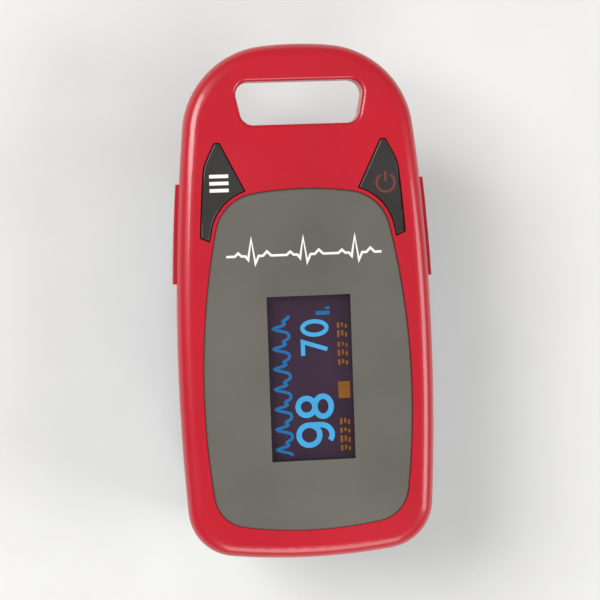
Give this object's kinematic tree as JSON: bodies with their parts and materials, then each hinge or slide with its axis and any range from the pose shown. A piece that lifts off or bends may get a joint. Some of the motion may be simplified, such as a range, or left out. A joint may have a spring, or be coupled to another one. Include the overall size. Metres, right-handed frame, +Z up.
{
  "type": "fingertip pulse oximeter",
  "caption": "Spring clip oximeter for a fingertip: a glossy upper half with a small display, crescent buttons and a lanyard loop, hinged to a cell-carrying lower half.",
  "frame": {"origin": "centre of the bounding box on the face that the clip rests on", "axes": "+Z up through the display, +Y towards the lanyard end, +X to the right of the display"},
  "size_m": [0.0374, 0.074, 0.028],
  "materials": {
    "red_cover": "glossy crimson moulded plastic",
    "plate": "satin warm grey with a fine grain",
    "clear": "dark tinted clear plastic",
    "screen": "black display glass",
    "foam": "black closed-cell foam",
    "flex": "amber polyimide ribbon",
    "board": "green solder mask",
    "chip": "black moulded chip",
    "button": "charcoal moulded plastic",
    "light_silver": "light silver painted plastic",
    "silver": "blue-grey silver painted plastic",
    "pad": "dark silicone rubber",
    "lens": "dark red clear plastic",
    "steel": "bright steel",
    "nickel": "nickel-plated spring steel",
    "wire": "thin insulated wire",
    "cell": "plain wrapped cell, no marking"
  },
  "bodies": {
    "lower_clip": {"bottom_cover": "silver", "lower_frame": "light_silver", "lower_pad": "pad", "sensor_window": "lens", "light_sensor": "chip", "lower_board": "board", "hinge_pin": "steel", "torsion_spring": "steel", "hinge_cable": "wire", "battery_left": "cell", "battery_right": "cell", "positive_contact": "nickel", "negative_contact": "nickel", "link_contact": "nickel", "contact_springs": "nickel", "lower_screws": "steel"},
    "upper_clip": {"top_cover": "red_cover", "face_plate": "plate", "display_window": "clear", "oled_panel": "screen", "display_gasket": "foam", "oled_flex": "flex", "main_board": "board", "board_chips": "chip", "buzzer": "chip", "motion_sensor": "chip", "mode_switch": "chip", "power_switch": "chip", "upper_frame": "light_silver", "upper_pad": "pad", "emitter_window": "lens", "light_emitter": "chip", "upper_screws": "steel"},
    "mode_key": {"mode_button": "button", "mode_plunger": "chip"},
    "power_key": {"power_button": "button", "power_plunger": "chip"},
    "battery_door": {"battery_door": "silver"}
  },
  "joints": [
    {"name": "clip_hinge", "type": "hinge", "parent": "lower_clip", "child": "upper_clip", "pos_m": [0, 0.009, 0.0196], "axis": [-1, 0, 0], "range_deg": [0, 22], "stiffness_Nm_per_rad": 0.12, "springref_deg": -28.65, "deforming": ["torsion_spring", "hinge_cable"]},
    {"name": "mode_press", "type": "slide", "parent": "upper_clip", "child": "mode_key", "axis": [0, 0, -1], "range_m": [0, 0.0003], "stiffness_N_per_m": 1500, "springref_m": -0.0004},
    {"name": "power_press", "type": "slide", "parent": "upper_clip", "child": "power_key", "axis": [0, 0, -1], "range_m": [0, 0.0003], "stiffness_N_per_m": 1500, "springref_m": -0.0004},
    {"name": "door_slide", "type": "slide", "parent": "lower_clip", "child": "battery_door", "axis": [0, 1, 0], "range_m": [0, 0.057]}
  ]
}
